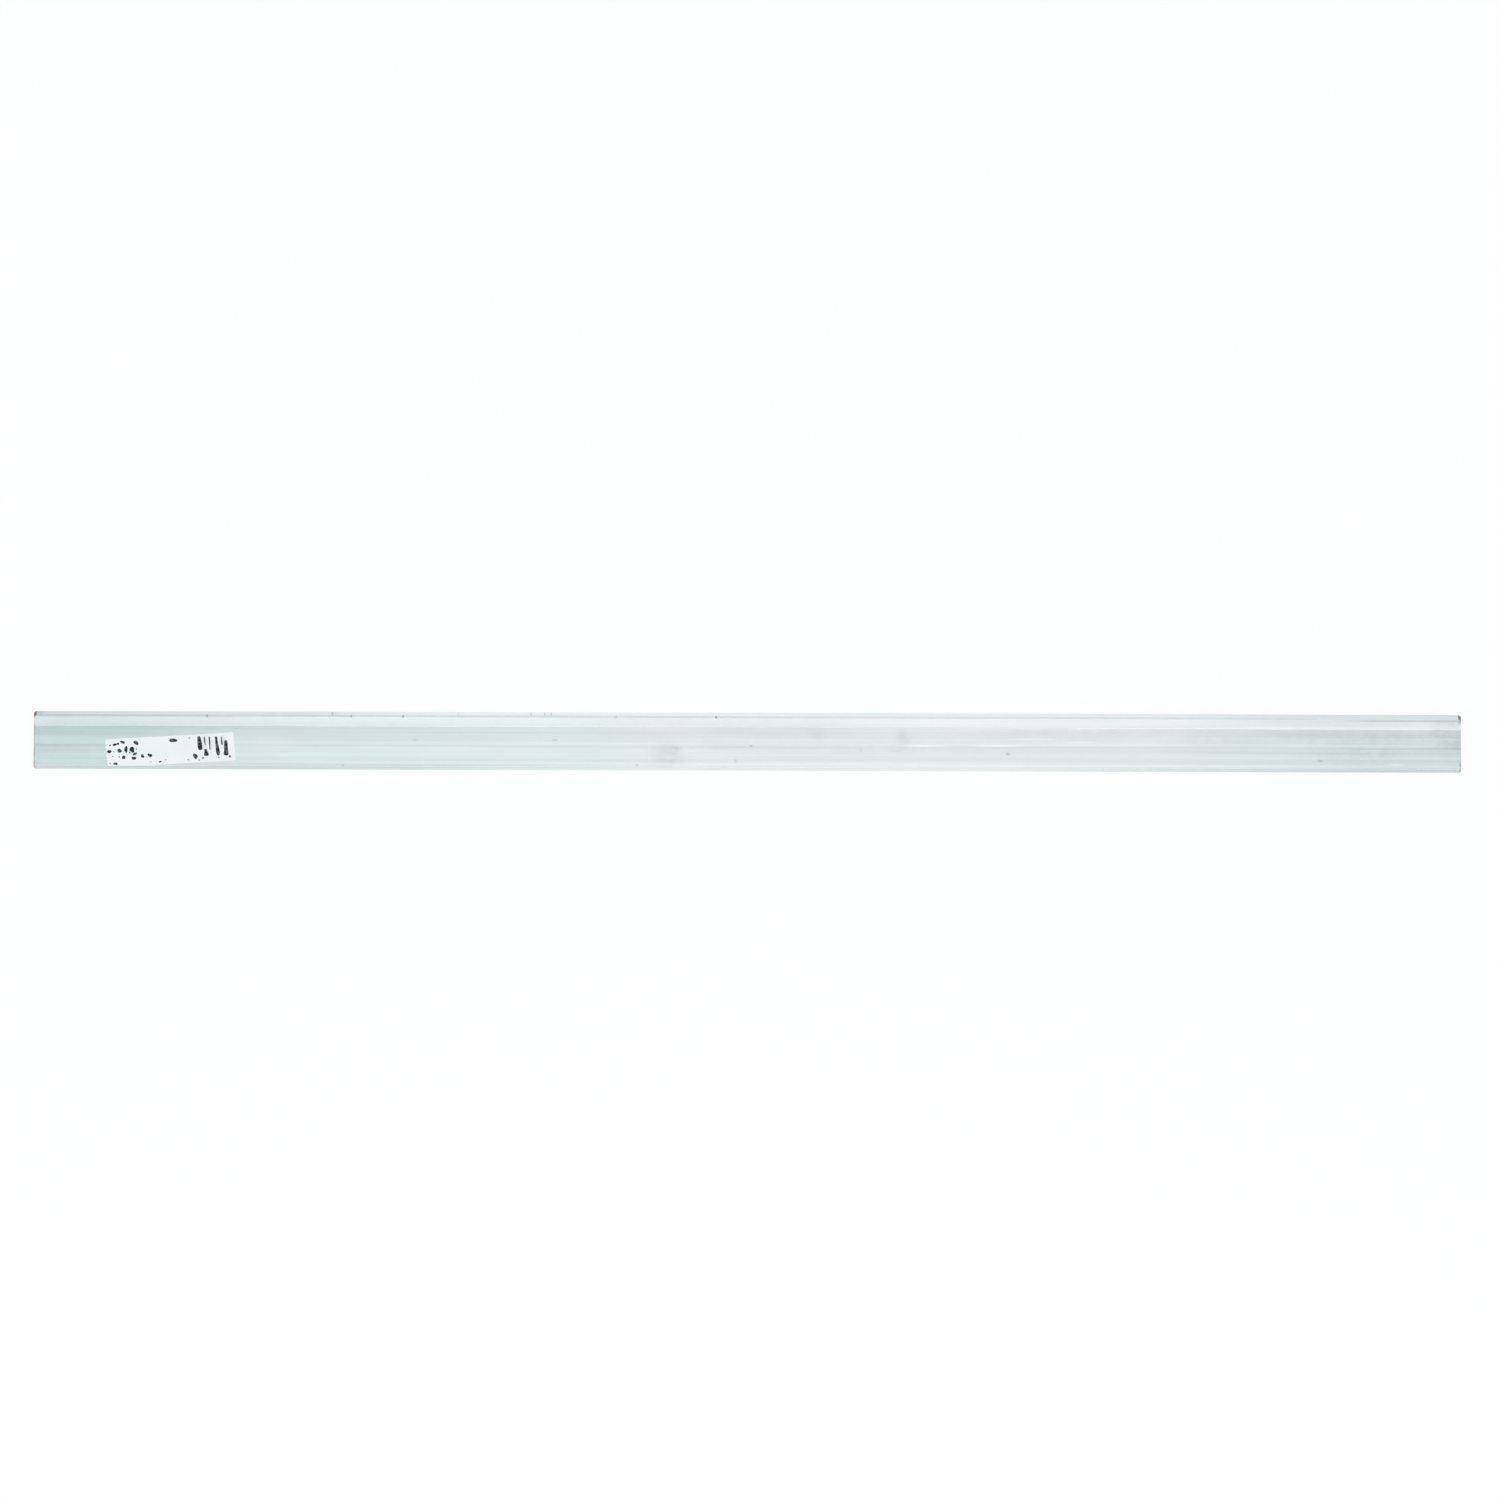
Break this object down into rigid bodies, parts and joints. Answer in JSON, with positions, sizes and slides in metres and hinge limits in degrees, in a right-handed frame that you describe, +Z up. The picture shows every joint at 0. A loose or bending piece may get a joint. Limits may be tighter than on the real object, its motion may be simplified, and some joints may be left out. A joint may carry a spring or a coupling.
{
  "type": "aluminium angle profile",
  "caption": "Straight length of extruded aluminium angle with unequal legs and a filleted inside corner, for edging, trim or light framing, with a paper stock label on the wide leg.",
  "frame": {"origin": "under the middle of the wide leg, at half the length, on the surface that the profile lies on", "axes": "+X along the length, away from the labelled end; +Y from the wide leg's tip to the back of the short leg; +Z up along the short leg"},
  "size_m": [1, 0.04, 0.015],
  "materials": {
    "mill_aluminium": "bare mill finish with fine die lines along the length",
    "label_paper": "matt white label paper with black print"
  },
  "bodies": {
    "root": {"angle_profile": "mill_aluminium", "stock_label": "label_paper"}
  },
  "joints": []
}
